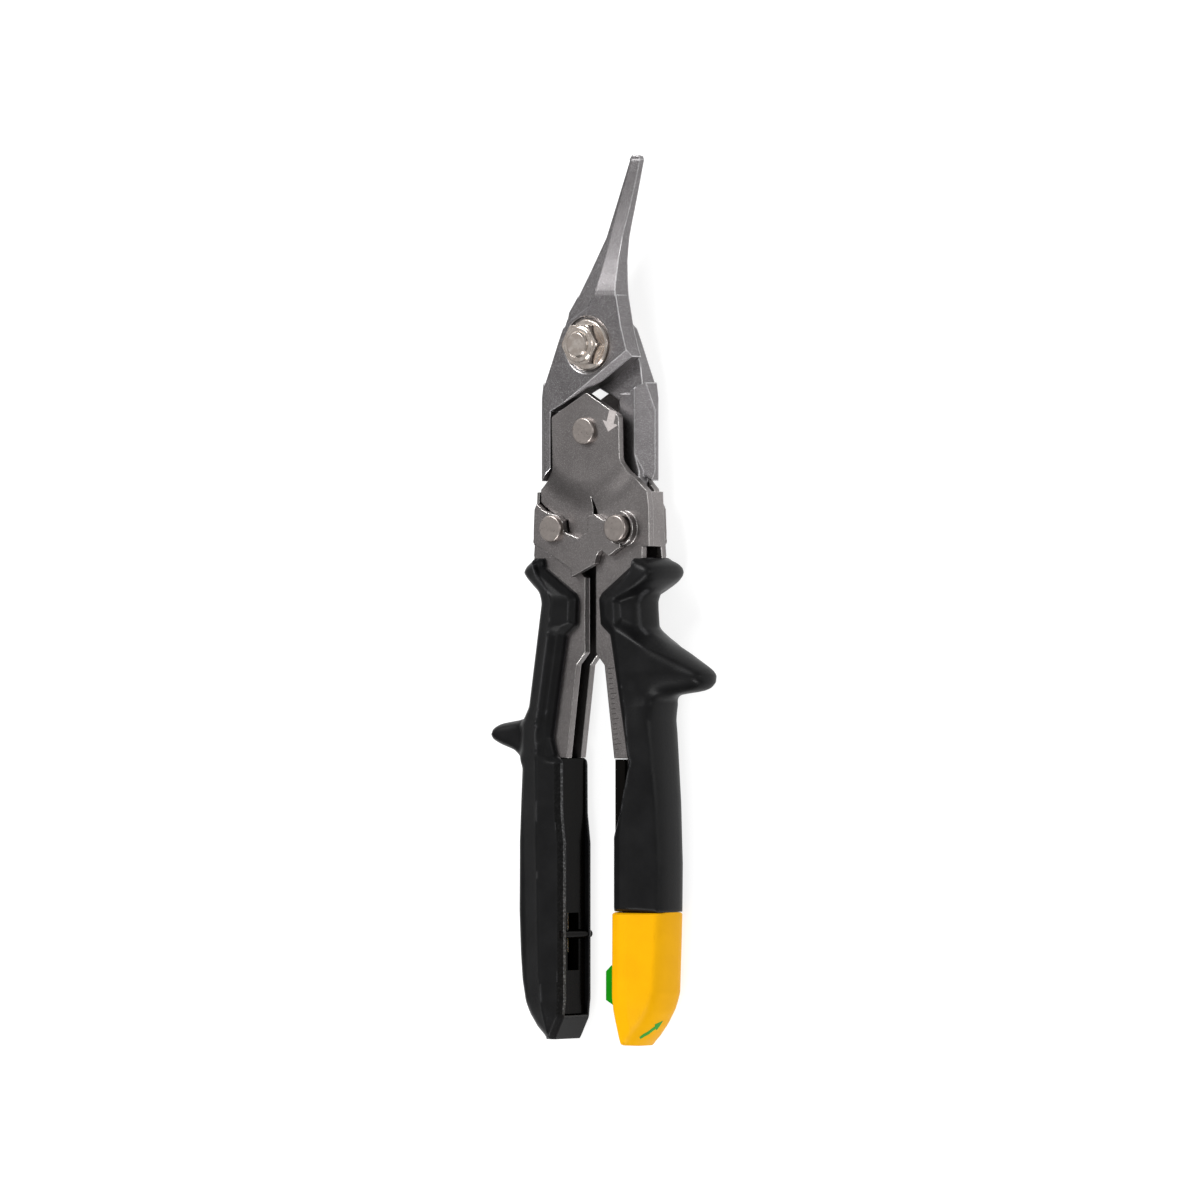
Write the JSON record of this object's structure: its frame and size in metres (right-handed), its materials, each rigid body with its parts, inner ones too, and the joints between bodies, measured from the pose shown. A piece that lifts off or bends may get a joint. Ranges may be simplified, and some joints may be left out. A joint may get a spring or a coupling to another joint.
{
  "type": "aviation snips",
  "caption": "Right-cut compound-action aviation snips with riveted folded-steel handles, soft grips and a swinging end latch, stored closed.",
  "frame": {"origin": "main pivot's axis at the plane the tool lies on, the flat back face of the pivot bolt's head", "axes": "+Z through the tool's thickness, from its back to its front; +Y along the tool towards the blade tips; +X towards the right handle, the one with the latch"},
  "size_m": [0.0774, 0.254, 0.0208],
  "materials": {
    "blade_steel": "dark satin, hot forged",
    "handle_steel": "satin pressed sheet",
    "rivet_steel": "turned, bright edges",
    "zinc_bolt": "bright plated",
    "spring_steel": "drawn wire",
    "soft_black": "soft matte moulding",
    "gloss_black": "smooth moulding",
    "yellow_plastic": "fine texture",
    "green_plastic": "semi gloss"
  },
  "bodies": {
    "right_handle": {"right_handle_frame": "handle_steel", "top_rivet": "rivet_steel", "right_rivet": "rivet_steel", "top_spacer": "rivet_steel", "right_washer": "rivet_steel", "opening_spring": "spring_steel", "right_grip": "soft_black", "right_end_cap": "yellow_plastic", "right_core": "gloss_black", "latch_pin": "rivet_steel"},
    "left_handle": {"left_handle_frame": "handle_steel", "left_rivet": "rivet_steel", "left_washer": "rivet_steel", "left_grip": "soft_black", "left_core": "gloss_black", "latch_catch": "rivet_steel"},
    "back_blade": {"back_blade": "blade_steel"},
    "front_blade": {"front_blade": "blade_steel", "pivot_bolt": "zinc_bolt", "pivot_nut": "zinc_bolt"},
    "latch": {"latch": "green_plastic"}
  },
  "joints": [
    {"name": "handle_hinge", "type": "hinge", "parent": "right_handle", "child": "left_handle", "pos_m": [0, -0.0247, 0.0095], "axis": [0, 0, -1], "range_deg": [0, 34]},
    {"name": "right_tang_hinge", "type": "hinge", "parent": "right_handle", "child": "back_blade", "pos_m": [0.0119, -0.0525, 0.0095], "axis": [0, 0, -1], "range_deg": [0, 9]},
    {"name": "blade_hinge", "type": "hinge", "parent": "back_blade", "child": "front_blade", "pos_m": [0, 0, 0.0095], "axis": [0, 0, -1], "range_deg": [0, 17.5]},
    {"name": "latch_hinge", "type": "hinge", "parent": "right_handle", "child": "latch", "pos_m": [0.016, -0.1665, 0.0095], "axis": [0, 0, -1], "range_deg": [0, 80]}
  ],
  "couplings": [
    {"joint": "right_tang_hinge", "follows": "handle_hinge", "ratio": 0.248},
    {"joint": "blade_hinge", "follows": "handle_hinge", "ratio": 0.504}
  ]
}
